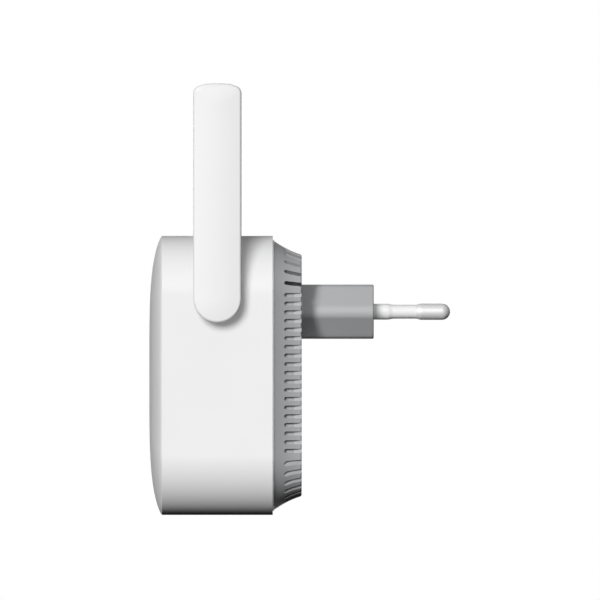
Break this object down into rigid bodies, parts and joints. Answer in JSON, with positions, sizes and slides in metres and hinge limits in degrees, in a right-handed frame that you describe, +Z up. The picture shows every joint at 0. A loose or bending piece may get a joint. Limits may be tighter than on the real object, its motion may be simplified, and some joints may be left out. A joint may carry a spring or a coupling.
{
  "type": "wifi range extender",
  "caption": "Rounded square plug-in network extender with a domed front, vented flared back, fold-down side antennas, a network jack and a push button.",
  "frame": {"origin": "centre of the plug body's flat end face, midway between the two pins", "axes": "+Y out of the plug into the wall socket, +Z up along the raised antennas, +X across the width; the domed front faces -Y"},
  "size_m": [0.0826, 0.0761, 0.1091],
  "materials": {
    "white_shell": "satin",
    "grey_shell": "satin",
    "pin_sleeve_plastic": "satin",
    "pin_metal": "satin",
    "contact_brass": "satin",
    "fastener_steel": "satin",
    "sheet_steel": "satin",
    "heat_sink_aluminium": "matte",
    "thermal_pad_silicone": "matte",
    "washer_rubber": "matte",
    "board_laminate": "gloss",
    "black_plastic": "satin",
    "cable_jacket": "satin",
    "light_pipe_clear": "gloss",
    "led_package": "gloss",
    "fuse_ceramic": "satin",
    "capacitor_sleeve": "gloss",
    "ferrite": "matte",
    "winding_tape": "satin",
    "choke_winding": "satin",
    "insulation_film": "satin"
  },
  "bodies": {
    "housing": {"front_housing": "white_shell", "rear_cover": "grey_shell", "vent_baffle": "grey_shell", "plug_body": "grey_shell", "pin_sleeve_right": "pin_sleeve_plastic", "pin_sleeve_left": "pin_sleeve_plastic", "plug_pin_right": "pin_metal", "plug_pin_left": "pin_metal", "pin_terminal_right": "contact_brass", "pin_terminal_left": "contact_brass", "jack_contacts": "contact_brass", "housing_screw_1": "fastener_steel", "housing_screw_2": "fastener_steel", "housing_screw_3": "fastener_steel", "housing_screw_4": "fastener_steel", "board_screw_right": "fastener_steel", "board_screw_left": "fastener_steel", "jack_shell": "sheet_steel", "processor_shield": "sheet_steel", "radio_shield": "sheet_steel", "crystal": "sheet_steel", "heat_sink": "heat_sink_aluminium", "thermal_pad": "thermal_pad_silicone", "main_board": "board_laminate", "power_board": "board_laminate", "jack_insert": "black_plastic", "wps_switch": "black_plastic", "flash_chip": "black_plastic", "network_magnetics": "black_plastic", "bridge_rectifier": "black_plastic", "board_link_header": "black_plastic", "coax_right": "cable_jacket", "coax_left": "cable_jacket", "status_light_pipe": "light_pipe_clear", "signal_light_pipe": "light_pipe_clear", "status_led": "led_package", "signal_led": "led_package", "fuse": "fuse_ceramic", "mains_capacitor_1": "capacitor_sleeve", "mains_capacitor_2": "capacitor_sleeve", "output_capacitor": "capacitor_sleeve", "transformer_core": "ferrite", "transformer_winding": "winding_tape", "line_choke": "choke_winding", "insulation_sheet": "insulation_film"},
    "antenna_right": {"antenna_right_outer_shell": "white_shell", "antenna_right_inner_shell": "white_shell", "antenna_right_board": "board_laminate", "antenna_right_feed_cable": "cable_jacket", "antenna_right_friction_washer": "washer_rubber", "antenna_right_retainer_clip": "fastener_steel"},
    "antenna_left": {"antenna_left_outer_shell": "white_shell", "antenna_left_inner_shell": "white_shell", "antenna_left_board": "board_laminate", "antenna_left_feed_cable": "cable_jacket", "antenna_left_friction_washer": "washer_rubber", "antenna_left_retainer_clip": "fastener_steel"},
    "wps_button": {"wps_button": "white_shell", "switch_plunger": "black_plastic"}
  },
  "joints": [
    {"name": "antenna_right_hinge", "type": "hinge", "parent": "housing", "child": "antenna_right", "pos_m": [0.03525, -0.0395, 0.0033], "axis": [1, 0, 0], "range_deg": [0, 180]},
    {"name": "antenna_left_hinge", "type": "hinge", "parent": "housing", "child": "antenna_left", "pos_m": [-0.03525, -0.0395, 0.0033], "axis": [1, 0, 0], "range_deg": [0, 180]},
    {"name": "wps_button_press", "type": "slide", "parent": "housing", "child": "wps_button", "axis": [0, 0, 1], "range_m": [0, 0.0004], "stiffness_N_per_m": 1500}
  ]
}
